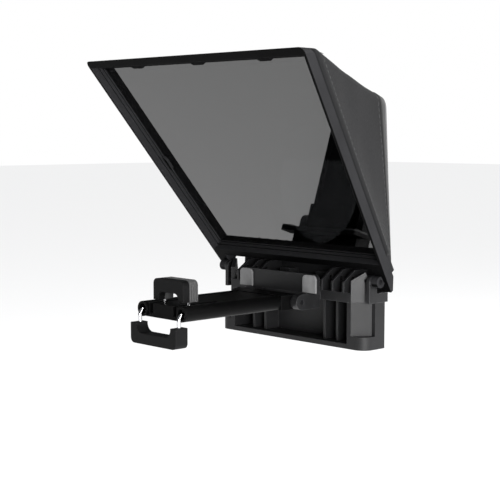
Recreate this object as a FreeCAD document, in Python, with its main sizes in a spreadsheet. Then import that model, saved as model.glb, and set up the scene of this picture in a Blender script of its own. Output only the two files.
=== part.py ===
import FreeCAD, Part
import os
import Sketcher
from FreeCAD import Placement, Rotation, Vector

# A folding teleprompter: a beam-splitter frame hinged on a base, a fabric hood behind it,
# a fold-out tray with a sprung phone clamp and a pull-out tablet clamp, and a lens ring.
# Millimetres. X is the width, +Y points to the camera, +Z is up.
# The origin is on the lens axis, in the face that rests against the lens rim.

doc = FreeCAD.newDocument("teleprompter")
sizes = doc.addObject("Spreadsheet::Sheet", "sizes")

VALUES = {
    # glass frame, in its own plane: height up the slope from the hinge axis, depth behind it
    "hinge_y": -18.5,
    "hinge_z": -53.0,
    "frame_tilt": 54.2,
    "frame_top": 152.3,
    "side_slope": 0.1405,
    "frame_low_half": 68.6,
    "frame_front": 2.0,
    "frame_depth": 9.0,
    "frame_corner": 3.0,
    "corner_cut": 0.55,
    "band_depth": 5.8,
    "rebate_in": 1.1,
    "bar_low": 6.8,
    "bar_width": 4.5,
    "top_lip": 4.8,
    "level_drop": 0.7212,
    "top_rebate": 1.36,
    "side_lip": 1.7,
    "wall_step": 0.9,
    "first_wall": 4.0,
    "second_wall": 1.8,
    "ledge_depth": 6.7,
    "pocket_in": 2.3,
    "glass_thick": 1.1,
    "glass_play": 0.3,
    "back_ring_width": 3.4,
    "lug_inner": 61.0,
    "lug_outer": 65.5,
    "lug_radius": 3.2,
    "arm_low": 9.0,
    "arm_toe": 1.8,
    "arm_heel": 2.0,
    "pin_radius": 1.5,
    "pin_bore": 1.55,
    "clip_width": 12.0,
    "clip_narrow": 8.0,
    "clip_drop": 5.5,
    "clip_thick": 1.0,
    "clip_pitch": 52.7,
    "seat_low": 2.0,
    "seat_high": 9.1,
    "back_ring_play": 0.1,
    "catch_mid": 74.0,
    "catch_length": 10.0,
    "catch_reach": 1.6,
    "catch_thick": 1.8,
    "washer_radius": 3.1,
    # rear plate and lens ring
    "plate_front": -6.0,
    "plate_rear": -2.6,
    "plate_top": 50.0,
    "plate_low": -60.0,
    "plate_top_half": 53.0,
    "plate_low_half": 59.5,
    "plate_corner": 8.0,
    "light_radius": 39.5,
    "seat_radius": 43.8,
    "seat_depth": 2.0,
    "flange_radius": 43.5,
    "flange_thick": 1.6,
    "sleeve_radius": 41.5,
    "thread_radius": 38.5,
    "thread_length": 4.0,
    "ring_bore": 36.0,
    "retainer_inner": 41.85,
    "retainer_outer": 48.2,
    "retainer_thick": 1.4,
    "retainer_screw_pitch": 32.5,
    "seat_play": 0.2,
    "fine_radius": 0.9,
    "fine_bore": 0.95,
    "fine_head": 1.8,
    "plate_screw_wide": 45.0,
    "plate_screw_near": 15.0,
    "plate_screw_high": -56.0,
    # base
    "base_half": 60.0,
    "base_front": -26.0,
    "base_rear": -8.5,
    "base_bottom": -91.9,
    "base_split": -65.4,
    "base_corner": 7.0,
    "floor_thick": 2.8,
    "cavity_half": 47.0,
    "cavity_rear": -10.5,
    "notch_inner": 50.0,
    "notch_rear": -16.5,
    "notch_far": 57.4,
    "notch_floor": -84.4,
    "inner_rib_near": 24.0,
    "inner_rib_far": 34.0,
    "inner_rib_thick": 1.6,
    "inner_rib_front": -21.0,
    "deck_top": -60.0,
    "rib_front_top": -54.2,
    "rib_rear_top": -48.0,
    "rib_knee": -16.7,
    "rib_first": 26.0,
    "rib_pitch": 8.5,
    "rib_thick": 1.6,
    "cheek_thick": 2.5,
    "cheek_run": 12.0,
    "cheek_peak": 8.2,
    "cheek_front_top": -52.8,
    "cheek_peak_top": -48.1,
    "cheek_rear_top": -56.5,
    "ear_inner": 57.6,
    "ear_outer": 60.0,
    "ear_radius": 3.2,
    "boss_half": 4.0,
    "boss_front": -14.0,
    "boss_top": -51.6,
    "housing_screw_x": 55.0,
    "housing_screw_y": -12.5,
    "housing_head_seat": 2.4,
    # rear jaw
    "jaw_half": 31.5,
    "jaw_front": -35.5,
    "jaw_thick": 3.5,
    "jaw_top": -50.5,
    "jaw_foot": -61.6,
    "jaw_pad_width": 10.5,
    "jaw_pad_thick": 1.0,
    "jaw_corner": 3.0,
    "jaw_heel_height": 3.0,
    # tray
    "tray_y": -41.0,
    "tray_z": -66.0,
    "arm_inner": 21.2,
    "arm_thick": 5.0,
    "knuckle_radius": 4.4,
    "knuckle_half": 20.8,
    "tube_pitch": 16.5,
    "tube_radius": 4.2,
    "tube_bore": 2.9,
    "tube_front": -122.4,
    "tube_rear": -47.0,
    "web_front": -121.4,
    "web_top": -62.3,
    "web_bottom": -70.0,
    "web_half": 15.0,
    "block_front": -52.0,
    "chamber_front": -105.0,
    "chamber_rear": -54.0,
    "channel_width": 2.8,
    "channel_floor": -68.0,
    "cover_thick": 0.7,
    "cover_half": 12.0,
    "cover_slot_rear": -92.0,
    "bush_length": 6.0,
    "bush_front": -119.4,
    "rod_radius": 1.1,
    "rod_bore": 1.15,
    "stop_length": 4.0,
    "stop_radius": 2.6,
    # phone clamp
    "hook_half": 12.6,
    "hook_front": -117.7,
    "hook_rear": -107.2,
    "hook_split": -113.2,
    "hook_top": -49.0,
    "hook_low": -60.8,
    "arch_half": 8.2,
    "arch_top": -56.2,
    "wire_pitch": 10.0,
    "wire_upright": -111.6,
    "wire_top": -57.0,
    "wire_rear": -84.0,
    "wire_bend": 3.0,
    "spring_radius": 1.5,
    "hook_corner": 3.0,
    "groove_pitch": 1.6,
    "groove_width": 0.7,
    "groove_deep": 0.6,
    # tablet clamp
    "jaw_block_half": 19.2,
    "jaw_block_front": -128.5,
    "jaw_block_rear": -120.3,
    "jaw_block_low": -84.2,
    "jaw_block_mid": -78.3,
    "jaw_block_top": -73.0,
    "jaw_leg_inner": 14.6,
    "jaw_dip_radius": 4.6,
    "rod_rear": -58.0,
    "rod_bend": 3.6,
    "rod_down": -80.0,
    "jaw_rod_y": -124.1,
    "jaw_block_corner": 3.0,
    "tablet_pad_half": 15.0,
    "tablet_pad_thick": 0.9,
    # fabric
    "fabric_thick": 0.8,
    "fabric_gap": 0.2,
    "hood_low": 12.0,
    "hem_drop": 4.4,
    "start_drop": 6.65,
    "fabric_rise": 0.99,
    "hood_rear": -3.2,
    "hood_rear_low": -44.0,
    "hood_rear_low_half": 58.7,
    # screws
    "screw_radius": 1.1,
    "screw_bore": 1.15,
    "screw_head": 2.2,
    "head_thick": 1.5,
}

for row, (alias, value) in enumerate(VALUES.items(), start=1):
    sizes.set("A%d" % row, alias)
    sizes.set("B%d" % row, str(value))
    sizes.setAlias("B%d" % row, alias)
doc.recompute()

NODES = []


def reference(text):
    """Size names in a text such as 'frame_top - top_lip' become spreadsheet references."""
    result = ""
    word = ""
    for letter in text + " ":
        if letter.isalnum() or letter in "_.":
            word += letter
        else:
            result += "sizes." + word if word in VALUES else word
            result += letter
            word = ""
    return result.strip()


def number(text):
    """The value of a sum of sizes, products written without spaces."""
    total = 0.0
    sign = 1.0
    for token in text.split():
        if token == "+":
            sign = 1.0
        elif token == "-":
            sign = -1.0
        else:
            factor = sign
            if token.startswith("-"):
                factor = -factor
                token = token[1:]
            for name in token.split("*"):
                factor *= VALUES[name] if name in VALUES else float(name)
            total += factor
            sign = 1.0
    return total


def bind(obj, **texts):
    """Sets an expression on each named property; a double underscore stands for a dot."""
    for name, text in texts.items():
        obj.setExpression(name.replace("__", "."), reference(text))
    return obj


def node(obj, label):
    """Marks a finished object as one piece of the teleprompter."""
    obj.Label = label
    NODES.append(obj)
    return obj


def frame_placement():
    """The glass frame's own axes: x across, y up the slope, z towards the viewer."""
    origin = Vector(0, VALUES["hinge_y"], VALUES["hinge_z"])
    return Placement(origin, Rotation(Vector(1, 0, 0), 180.0 - VALUES["frame_tilt"]))


# ---- primitives -------------------------------------------------------------------------

TURN = {
    "x": Rotation(Vector(0, 1, 0), 90),
    "y": Rotation(Vector(1, 0, 0), -90),
    "z": Rotation(),
}


def block(name, x_low, x_high, y_low, y_high, z_low, z_high):
    box = doc.addObject("Part::Box", name)
    bind(box, Length="(%s) - (%s)" % (x_high, x_low))
    bind(box, Width="(%s) - (%s)" % (y_high, y_low))
    bind(box, Height="(%s) - (%s)" % (z_high, z_low))
    return bind(box, Placement__Base__x=x_low, Placement__Base__y=y_low, Placement__Base__z=z_low)


def rod(name, axis, radius, length, x, y, z):
    cylinder = doc.addObject("Part::Cylinder", name)
    cylinder.Placement = Placement(Vector(), TURN[axis])
    bind(cylinder, Radius=radius, Height=length)
    return bind(cylinder, Placement__Base__x=x, Placement__Base__y=y, Placement__Base__z=z)


def join(name, shapes):
    fused = doc.addObject("Part::MultiFuse", name)
    fused.Shapes = shapes
    fused.Refine = True
    return fused


def group(name, shapes):
    together = doc.addObject("Part::Compound", name)
    together.Links = shapes
    return together


def carve(name, solid, tools):
    tool = tools[0] if len(tools) == 1 else join(name + "_tools", tools)
    result = doc.addObject("Part::Cut", name)
    result.Base = solid
    result.Tool = tool
    result.Refine = True
    return result


def rounded(name, solid, radius, chosen):
    """Rounds the edges of a finished solid that the given test picks."""
    doc.recompute()
    edges = []
    for index, edge in enumerate(solid.Shape.Edges, start=1):
        if chosen(edge):
            edges.append((index, radius, radius))
    fillet = doc.addObject("Part::Fillet", name)
    fillet.Base = solid
    fillet.Edges = edges
    return fillet


def turned(obj, placement):
    """Stands a piece drawn in the frame's own axes on the hinge."""
    obj.Placement = placement
    return obj


# ---- bodies with sketches ---------------------------------------------------------------


def body(label):
    piece = doc.addObject("PartDesign::Body", label)
    return node(piece, label)


def sketch_on(piece, name, plane, offset):
    sketch = piece.newObject("Sketcher::SketchObject", name)
    planes = [entry for entry in piece.Origin.OriginFeatures if entry.Role == plane]
    sketch.AttachmentSupport = (planes[0], [""])
    sketch.MapMode = "FlatFace"
    return bind(sketch, AttachmentOffset__Base__z=offset)


def draw_polygon(sketch, corners):
    """A closed outline whose corners are tied to the sizes."""
    first = sketch.GeometryCount
    points = [Vector(number(x), number(y), 0) for x, y in corners]
    count = len(points)
    for index in range(count):
        sketch.addGeometry(Part.LineSegment(points[index], points[(index + 1) % count]), False)
    for index in range(count):
        follower = first + (index + 1) % count
        sketch.addConstraint(Sketcher.Constraint("Coincident", first + index, 2, follower, 1))
    for index, (x, y) in enumerate(corners):
        pin_point(sketch, first + index, 1, x, y)
    return sketch


def pin_point(sketch, geometry, point, x, y):
    for kind, text in (("DistanceX", x), ("DistanceY", y)):
        rule = Sketcher.Constraint(kind, -1, 1, geometry, point, number(text))
        index = sketch.addConstraint(rule)
        sketch.setExpression("Constraints[%d]" % index, reference(text))


def draw_circle(sketch, x, y, radius):
    centre = Vector(number(x), number(y), 0)
    geometry = sketch.addGeometry(Part.Circle(centre, Vector(0, 0, 1), number(radius)), False)
    rule = sketch.addConstraint(Sketcher.Constraint("Radius", geometry, number(radius)))
    sketch.setExpression("Constraints[%d]" % rule, reference(radius))
    pin_point(sketch, geometry, 3, x, y)
    return sketch


def pad(piece, name, sketch, length):
    feature = piece.newObject("PartDesign::Pad", name)
    feature.Profile = sketch
    piece.Tip = feature
    return bind(feature, Length=length)


def pocket(piece, name, sketch, length, forward=False):
    """Cuts against the sketch normal, or along it when forward is set."""
    feature = piece.newObject("PartDesign::Pocket", name)
    feature.Profile = sketch
    feature.Reversed = forward
    piece.Tip = feature
    return bind(feature, Length=length)


def soften(piece, name, radius, chosen):
    """A fillet on the edges of the body so far that the given test picks."""
    doc.recompute()
    before = piece.Tip
    names = ["Edge%d" % i for i, e in enumerate(before.Shape.Edges, start=1) if chosen(e)]
    feature = piece.newObject("PartDesign::Fillet", name)
    feature.Base = (before, names)
    piece.Tip = feature
    return bind(feature, Radius=radius)


def upright(edge, x_least=0.0):
    """True for a straight edge along z, at least x_least from the middle."""
    box = edge.BoundBox
    thin = box.XLength < 0.01 and box.YLength < 0.01
    return thin and box.ZLength > 1.0 and abs(box.Center.x) > x_least


# ---- glass frame ------------------------------------------------------------------------


def swapped(text):
    """The same terms with plus and minus exchanged between them."""
    return text.replace(" + ", " ~ ").replace(" - ", " + ").replace(" ~ ", " - ")


def outline(inset, low, high):
    """The frame's tapering outline moved in by inset, between two heights up the slope."""
    corners = []
    for height in (low, high):
        terms = [t if t in "+-" else "side_slope*" + t for t in height.split()]
        half = "frame_low_half + " + " ".join(terms) + " - " + swapped(inset)
        corners.append(("-" + swapped(half), height))
        corners.append((half, height))
    return [corners[0], corners[1], corners[3], corners[2]]


def high_corner(edge):
    """True for the edges between the side walls and the level top."""
    box = edge.BoundBox
    return abs(box.Center.x) > 80.0 and box.YMin > 140.0 and box.ZLength > 1.5 and box.YLength > 1.0


def level_top(piece):
    """Cuts the top so that it lies level when the glass leans, with the hood's rebate behind."""
    side = sketch_on(piece, "level_top_side", "YZ_Plane", "-100.0")
    behind = "-frame_front - frame_depth"
    step = "-frame_front - band_depth"
    draw_polygon(
        side,
        [
            ("frame_top", "-frame_front"),
            ("frame_top - level_drop*band_depth", step),
            ("frame_top - level_drop*band_depth - top_rebate", step),
            ("frame_top - level_drop*frame_depth - top_rebate", behind),
            ("frame_top - level_drop*frame_depth - top_rebate", behind + " - 0.5"),
            ("frame_top + 3.0", behind + " - 0.5"),
            ("frame_top + 3.0", "-frame_front"),
        ],
    )
    pocket(piece, "level_top_cut", side, "200.0", forward=True)


def arm_toes(piece):
    """Narrows both arms to a blunt wedge below the hinge, their backs nearly upright."""
    side = sketch_on(piece, "arm_toe_side", "YZ_Plane", "-100.0")
    behind = "-frame_front - band_depth - 0.5"
    draw_polygon(
        side,
        [
            ("-arm_heel", behind),
            ("-arm_heel", "-frame_front - band_depth"),
            ("-arm_low", "-frame_front - arm_toe"),
            ("-arm_low - 0.5", "-frame_front - arm_toe"),
            ("-arm_low - 0.5", behind),
        ],
    )
    pocket(piece, "arm_toe_cut", side, "200.0", forward=True)


def make_frame_surround():
    piece = body("frame_surround")
    face = sketch_on(piece, "frame_face", "XY_Plane", "-frame_front - band_depth")
    draw_polygon(face, outline("0.0", "0.0 - arm_low", "frame_top"))
    pad(piece, "frame_band", face, "band_depth")
    rebate = sketch_on(piece, "frame_rebate", "XY_Plane", "-frame_front - frame_depth")
    draw_polygon(rebate, outline("rebate_in", "0.0", "frame_top - rebate_in"))
    pad(piece, "frame_rebated_back", rebate, "frame_depth - band_depth")
    level_top(piece)
    arm_toes(piece)
    soften(piece, "frame_top_corners", "frame_corner", high_corner)

    lip = sketch_on(piece, "lip_opening", "XY_Plane", "-frame_front")
    draw_polygon(lip, outline("side_lip", "bar_low + bar_width", "frame_top - top_lip"))
    pocket(piece, "lip_wall", lip, "first_wall")
    step = sketch_on(piece, "step_opening", "XY_Plane", "-frame_front - first_wall")
    draw_polygon(
        step,
        outline(
            "side_lip + wall_step",
            "bar_low + bar_width + wall_step",
            "frame_top - top_lip - wall_step",
        ),
    )
    pocket(piece, "step_wall", step, "second_wall")
    sight = sketch_on(
        piece, "sight_opening", "XY_Plane", "-frame_front - first_wall - second_wall"
    )
    draw_polygon(
        sight,
        outline(
            "side_lip + 2*wall_step",
            "bar_low + bar_width + 2*wall_step",
            "frame_top - seat_high",
        ),
    )
    pocket(piece, "sight_cut", sight, "frame_depth")
    seat = sketch_on(piece, "glass_seat", "XY_Plane", "-frame_front - frame_depth")
    draw_polygon(seat, outline("pocket_in", "bar_low + seat_low", "frame_top - seat_high"))
    pocket(piece, "glass_pocket", seat, "frame_depth - ledge_depth", forward=True)

    notch = sketch_on(piece, "between_arms", "XY_Plane", "0.0")
    draw_polygon(
        notch,
        [
            ("-lug_inner", "-arm_low - 1.0"),
            ("lug_inner", "-arm_low - 1.0"),
            ("lug_inner", "bar_low"),
            ("-lug_inner", "bar_low"),
        ],
    )
    pocket(piece, "arm_gap", notch, "2*frame_depth")
    for side, sign in (("right", ""), ("left", "-")):
        lug = sketch_on(piece, "lug_" + side, "YZ_Plane", sign + ("lug_inner" if sign == "" else "lug_outer"))
        draw_circle(lug, "0.0", "0.0", "lug_radius")
        pad(piece, "hinge_lug_" + side, lug, "lug_outer - lug_inner")
    bore = sketch_on(piece, "lug_bore", "YZ_Plane", "-lug_outer - 2.0")
    draw_circle(bore, "0.0", "0.0", "pin_bore")
    pocket(piece, "lug_bores", bore, "2*lug_outer + 4.0", forward=True)
    return turned(piece, frame_placement())


def make_glass():
    piece = body("beam_splitter_glass")
    face = sketch_on(piece, "glass_face", "XY_Plane", "-frame_front - ledge_depth - glass_thick")
    draw_polygon(
        face,
        outline(
            "pocket_in + glass_play",
            "bar_low + seat_low + glass_play",
            "frame_top - seat_high - glass_play",
        ),
    )
    pad(piece, "glass_pane", face, "glass_thick")
    return turned(piece, frame_placement())


def make_back_ring():
    """The thin rear frame that presses the glass into its seat."""
    piece = body("frame_back_ring")
    face = sketch_on(piece, "back_face", "XY_Plane", "-frame_front - frame_depth")
    draw_polygon(
        face,
        outline(
            "pocket_in + back_ring_play",
            "bar_low + seat_low + back_ring_play",
            "frame_top - seat_high - back_ring_play",
        ),
    )
    pad(piece, "back_pad", face, "frame_depth - ledge_depth - glass_thick")
    hole = sketch_on(piece, "back_hole", "XY_Plane", "-frame_front - frame_depth")
    draw_polygon(
        hole,
        outline(
            "pocket_in + back_ring_width",
            "bar_low + seat_low + back_ring_width",
            "frame_top - seat_high - back_ring_width",
        ),
    )
    pocket(piece, "back_opening", hole, "frame_depth", forward=True)
    return turned(piece, frame_placement())


def make_glass_clips():
    """Three tabs under the top bar that keep the upper glass edge in place."""
    tabs = []
    for index in (-1, 0, 1):
        middle = "%d*clip_pitch" % index
        tab = doc.addObject("Sketcher::SketchObject", "clip_face_%d" % (index + 2))
        draw_polygon(
            tab,
            [
                (middle + " - 0.5*clip_width", "frame_top - seat_high"),
                (middle + " + 0.5*clip_width", "frame_top - seat_high"),
                (middle + " + 0.5*clip_narrow", "frame_top - top_lip - clip_drop"),
                (middle + " - 0.5*clip_narrow", "frame_top - top_lip - clip_drop"),
            ],
        )
        solid = doc.addObject("Part::Extrusion", "clip_%d" % (index + 2))
        solid.Base = tab
        solid.DirMode = "Normal"
        solid.Solid = True
        bind(solid, LengthFwd="clip_thick")
        tabs.append(solid)
    clips = node(group("clip_group", tabs), "glass_clips")
    clips.Placement = frame_placement().multiply(
        Placement(Vector(0, 0, -VALUES["frame_front"] - VALUES["ledge_depth"]), Rotation())
    )
    return clips


def make_side_catch(side, sign):
    """The small snap tab on the inner side wall, half way up the glass."""
    inner = "frame_low_half + side_slope*catch_mid - side_lip - 2*wall_step"
    sketch = doc.addObject("Sketcher::SketchObject", "catch_face_" + side)
    corners = [
        (inner + " - side_slope*catch_length*0.5", "catch_mid - 0.5*catch_length"),
        (inner + " + side_slope*catch_length*0.5", "catch_mid + 0.5*catch_length"),
        (inner + " - catch_reach", "catch_mid + 0.3*catch_length"),
        (inner + " - catch_reach - side_slope*catch_length*0.5", "catch_mid - 0.4*catch_length"),
    ]
    if sign < 0:
        corners = [("-" + swapped(x), y) for x, y in corners]
    draw_polygon(sketch, corners)
    solid = doc.addObject("Part::Extrusion", "catch_" + side)
    solid.Base = sketch
    solid.DirMode = "Normal"
    solid.Solid = True
    bind(solid, LengthFwd="catch_thick")
    solid.Placement = frame_placement().multiply(
        Placement(Vector(0, 0, -VALUES["frame_front"] - VALUES["ledge_depth"]), Rotation())
    )
    return node(solid, "glass_catch_" + side)


def make_hinge_pin(side, sign):
    length = "lug_outer - ear_inner"
    start = "ear_inner" if sign > 0 else "-lug_outer"
    pin = rod("pin_" + side, "x", "pin_radius", length, start, "hinge_y", "hinge_z")
    return node(pin, "frame_hinge_pin_" + side)


def make_hinge_washer(side, sign):
    start = "ear_outer + 0.05" if sign > 0 else "-lug_inner + 0.05"
    disc = rod("disc_" + side, "x", "washer_radius", "0.9", start, "hinge_y", "hinge_z")
    hole = rod("disc_hole_" + side, "x", "pin_bore", "2.0", start, "hinge_y", "hinge_z")
    return node(carve("washer_" + side, disc, [hole]), "frame_hinge_washer_" + side)


# ---- rear plate and lens ring -----------------------------------------------------------


def rear_screw(name, x, rear, z, radius, length):
    """A screw driven forwards from the camera side."""
    top = rod(name + "_head", "y", "screw_head", "head_thick", x, rear, z)
    shank = rod(name + "_shank", "y", radius, length, x, rear + " - " + length, z)
    return join(name, [top, shank])


def make_rear_plate():
    piece = body("rear_plate")
    face = sketch_on(piece, "plate_face", "XZ_Plane", "-plate_rear")
    draw_polygon(
        face,
        [
            ("-plate_low_half", "plate_low"),
            ("plate_low_half", "plate_low"),
            ("plate_top_half", "plate_top"),
            ("-plate_top_half", "plate_top"),
        ],
    )
    pad(piece, "plate_slab", face, "plate_rear - plate_front")
    soften(piece, "plate_corners", "plate_corner", lambda e: e.BoundBox.ZMin > 45.0
           and e.BoundBox.YLength > 1.0 and e.BoundBox.XLength < 0.01)
    light = sketch_on(piece, "light_opening", "XZ_Plane", "-plate_rear - 1.0")
    draw_circle(light, "0.0", "0.0", "light_radius")
    pocket(piece, "light_bore", light, "20.0", forward=True)
    seat = sketch_on(piece, "ring_seat", "XZ_Plane", "-plate_rear")
    draw_circle(seat, "0.0", "0.0", "seat_radius")
    pocket(piece, "ring_seat_bore", seat, "seat_depth", forward=True)
    for number_of, (x, z) in enumerate(RETAINER_SCREWS):
        hole = sketch_on(piece, "retainer_hole_%d" % number_of, "XZ_Plane", "-plate_rear")
        draw_circle(hole, x, z, "fine_bore")
        pocket(piece, "retainer_bore_%d" % number_of, hole, "plate_rear - plate_front", forward=True)
    for number_of, (x, z) in enumerate(PLATE_SCREWS):
        hole = sketch_on(piece, "plate_hole_%d" % number_of, "XZ_Plane", "-plate_rear")
        draw_circle(hole, x, z, "screw_bore")
        pocket(piece, "plate_bore_%d" % number_of, hole, "plate_rear - plate_front", forward=True)
    return piece


RETAINER_SCREWS = [
    ("retainer_screw_pitch", "retainer_screw_pitch"),
    ("-retainer_screw_pitch", "retainer_screw_pitch"),
    ("retainer_screw_pitch", "-retainer_screw_pitch"),
    ("-retainer_screw_pitch", "-retainer_screw_pitch"),
]

PLATE_SCREWS = [
    ("plate_screw_wide", "plate_screw_high"),
    ("-plate_screw_wide", "plate_screw_high"),
    ("plate_screw_near", "plate_screw_high"),
    ("-plate_screw_near", "plate_screw_high"),
]


def make_retainer():
    disc = rod("retainer_disc", "y", "retainer_outer", "retainer_thick", "0.0", "plate_rear", "0.0")
    holes = [rod("retainer_hole", "y", "retainer_inner", "9.0", "0.0", "plate_rear - 1.0", "0.0")]
    for index, (x, z) in enumerate(RETAINER_SCREWS):
        holes.append(
            rod("retainer_screw_hole_%d" % index, "y", "fine_bore", "9.0", x, "plate_rear - 1.0", z)
        )
    return node(carve("retainer", disc, holes), "lens_ring_retainer")


def make_retainer_screws():
    screws = []
    for index, (x, z) in enumerate(RETAINER_SCREWS):
        rear = "plate_rear + retainer_thick"
        top = rod("retainer_head_%d" % index, "y", "fine_head", "1.0", x, rear, z)
        shank = rod(
            "retainer_shank_%d" % index, "y", "fine_radius", "4.0", x, rear + " - 4.0", z
        )
        screws.append(join("retainer_screw_%d" % index, [top, shank]))
    return node(group("retainer_screw_group", screws), "retainer_screws")


def make_plate_screws():
    screws = []
    for index, (x, z) in enumerate(PLATE_SCREWS):
        screws.append(
            rear_screw("plate_screw_%d" % index, x, "plate_rear", z, "screw_radius", "9.0")
        )
    return node(group("plate_screw_group", screws), "plate_screws")


def make_lens_ring():
    """Flange in the plate, sleeve through the retainer, and the male thread for the lens."""
    flange_rear = "plate_rear - seat_play"
    flange = rod(
        "ring_flange", "y", "flange_radius", "flange_thick",
        "0.0", flange_rear + " - flange_thick", "0.0",
    )
    sleeve = rod("ring_sleeve", "y", "sleeve_radius", "-plate_rear + seat_play", "0.0", flange_rear, "0.0")
    thread = rod("ring_thread", "y", "thread_radius", "thread_length", "0.0", "0.0", "0.0")
    solid = join("ring_solid", [flange, sleeve, thread])
    hole = rod("ring_hole", "y", "ring_bore", "20.0", "0.0", "-10.0", "0.0")
    return node(carve("ring", solid, [hole]), "lens_ring")


# ---- base -------------------------------------------------------------------------------


def make_lower_housing():
    """The open-fronted lower half of the base."""
    piece = body("base_lower_housing")
    foot = sketch_on(piece, "housing_foot", "XY_Plane", "base_bottom")
    draw_polygon(
        foot,
        [
            ("-base_half", "base_front"),
            ("base_half", "base_front"),
            ("base_half", "base_rear"),
            ("-base_half", "base_rear"),
        ],
    )
    pad(piece, "housing_block", foot, "base_split - base_bottom")
    soften(piece, "housing_corners", "base_corner",
           lambda e: upright(e, 50.0) and e.BoundBox.YMax < -20.0)
    room = sketch_on(piece, "housing_room", "XY_Plane", "base_split")
    draw_polygon(
        room,
        [
            ("-cavity_half", "base_front - 1.0"),
            ("cavity_half", "base_front - 1.0"),
            ("cavity_half", "cavity_rear"),
            ("-cavity_half", "cavity_rear"),
        ],
    )
    pocket(piece, "housing_cavity", room, "base_split - base_bottom - floor_thick")
    for side, sign in (("right", ""), ("left", "-")):
        notch = sketch_on(piece, "corner_notch_" + side, "XY_Plane", "base_split")
        draw_polygon(
            notch,
            [
                (sign + "notch_inner", "base_front - 1.0"),
                (sign + "base_half", "base_front - 1.0"),
                (sign + "base_half", "notch_rear"),
                (sign + "notch_far", "notch_rear"),
                (sign + "notch_inner", "base_front"),
            ],
        )
        pocket(piece, "corner_recess_" + side, notch, "base_split - notch_floor")
        hole = sketch_on(piece, "screw_way_" + side, "XY_Plane", "base_split")
        draw_circle(hole, sign + "housing_screw_x", "housing_screw_y", "screw_bore")
        pocket(piece, "screw_bore_" + side, hole, "base_split - base_bottom")
        seat = sketch_on(piece, "screw_seat_" + side, "XY_Plane", "base_bottom + head_thick + 0.5")
        draw_circle(seat, sign + "housing_screw_x", "housing_screw_y", "housing_head_seat")
        pocket(piece, "screw_counterbore_" + side, seat, "3.0*head_thick")
    for index, place in enumerate(("inner_rib_near", "inner_rib_far")):
        for side, sign in (("right", ""), ("left", "-")):
            rib = sketch_on(piece, "inner_rib_%s_%d" % (side, index), "YZ_Plane", rib_start(place, sign))
            draw_polygon(
                rib,
                [
                    ("inner_rib_front", "base_bottom + 0.5*floor_thick"),
                    ("cavity_rear + 0.5", "base_bottom + 0.5*floor_thick"),
                    ("cavity_rear + 0.5", "base_split"),
                    ("inner_rib_front", "base_split"),
                ],
            )
            pad(piece, "stiffener_%s_%d" % (side, index), rib, "inner_rib_thick")
    return piece


def rib_start(place, sign):
    if sign == "":
        return place
    return "-" + place + " - inner_rib_thick"


def make_ramp_deck():
    """The upper half of the base: sloping ribs, cheeks, frame ears and tray arms."""
    parts = [
        block("deck_slab", "-notch_inner", "notch_inner", "base_front", "plate_front",
              "base_split", "deck_top"),
        block("deck_back", "-base_half", "base_half", "notch_rear", "plate_front",
              "base_split", "deck_top"),
    ]
    for index in range(3):
        place = "rib_first + %d*rib_pitch" % index
        parts.append(ramp_plate("ramp_right_%d" % index, place, "rib_thick"))
        parts.append(
            ramp_plate("ramp_left_%d" % index, "-" + swapped(place) + " - rib_thick", "rib_thick")
        )
    cheek = cheek_plate()
    parts.append(cheek)
    parts.append(mirrored(cheek, "cheek_left"))
    for side, low, high in (
        ("right", "ear_inner", "ear_outer"),
        ("left", "-ear_outer", "-ear_inner"),
    ):
        parts.append(
            block("ear_web_" + side, low, high, "hinge_y - ear_radius", "hinge_y + ear_radius",
                  "base_split", "hinge_z")
        )
        parts.append(
            rod("ear_round_" + side, "x", "ear_radius", "ear_outer - ear_inner",
                low, "hinge_y", "hinge_z")
        )
    for index, (x, z) in enumerate(PLATE_SCREWS):
        parts.append(
            block("boss_%d" % index, x + " - boss_half", x + " + boss_half",
                  "boss_front", "plate_front", "base_split + 2.0", "boss_top")
        )
    for side, low, high in (
        ("right", "arm_inner", "arm_inner + arm_thick"),
        ("left", "-arm_inner - arm_thick", "-arm_inner"),
    ):
        parts.append(
            block("arm_root_" + side, low, high, "base_front - 0.3", "base_front + 1.0",
                  "base_split", "jaw_foot")
        )
        parts.append(
            block("arm_bar_" + side, low, high, "tray_y", "base_front - 0.3",
                  "tray_z - knuckle_radius", "jaw_foot")
        )
        parts.append(
            rod("arm_round_" + side, "x", "knuckle_radius", "arm_thick", low, "tray_y", "tray_z")
        )
    solid = join("deck_solid", parts)
    holes = [
        rod("ear_bore", "x", "pin_radius", "2*base_half + 4.0", "-base_half - 2.0",
            "hinge_y", "hinge_z"),
        rod("arm_bore", "x", "pin_radius", "60.0", "-30.0", "tray_y", "tray_z"),
    ]
    for index, (x, z) in enumerate(PLATE_SCREWS):
        holes.append(
            rod("boss_bore_%d" % index, "y", "screw_radius", "9.0", x, "plate_front - 8.0", z)
        )
    for side, x in (("right", "housing_screw_x"), ("left", "-housing_screw_x")):
        holes.append(
            rod("deck_screw_bore_" + side, "z", "screw_radius", "6.0",
                x, "housing_screw_y", "base_split - 1.0")
        )
    return node(carve("deck", solid, holes), "base_ramp_deck")


def cheek_plate():
    """The right cheek: an upright plate set cornerwise, from the deck's front back to the hinge ear."""
    near = Vector(VALUES["notch_inner"], VALUES["base_front"], 0)
    far = Vector(VALUES["notch_far"], VALUES["notch_rear"], 0)
    face = doc.addObject("Sketcher::SketchObject", "cheek_face")
    turn = Rotation(Vector(1, 0, 0), far - near)
    face.Placement = Placement(near, turn.multiply(Rotation(Vector(1, 0, 0), 90)))
    draw_polygon(
        face,
        [
            ("0.0", "base_split"),
            ("cheek_run", "base_split"),
            ("cheek_run", "cheek_rear_top"),
            ("cheek_peak", "cheek_peak_top"),
            ("0.0", "cheek_front_top"),
        ],
    )
    plate = doc.addObject("Part::Extrusion", "cheek_right")
    plate.Base = face
    plate.DirMode = "Normal"
    plate.Solid = True
    plate.Reversed = True
    return bind(plate, LengthFwd="cheek_thick")


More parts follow.
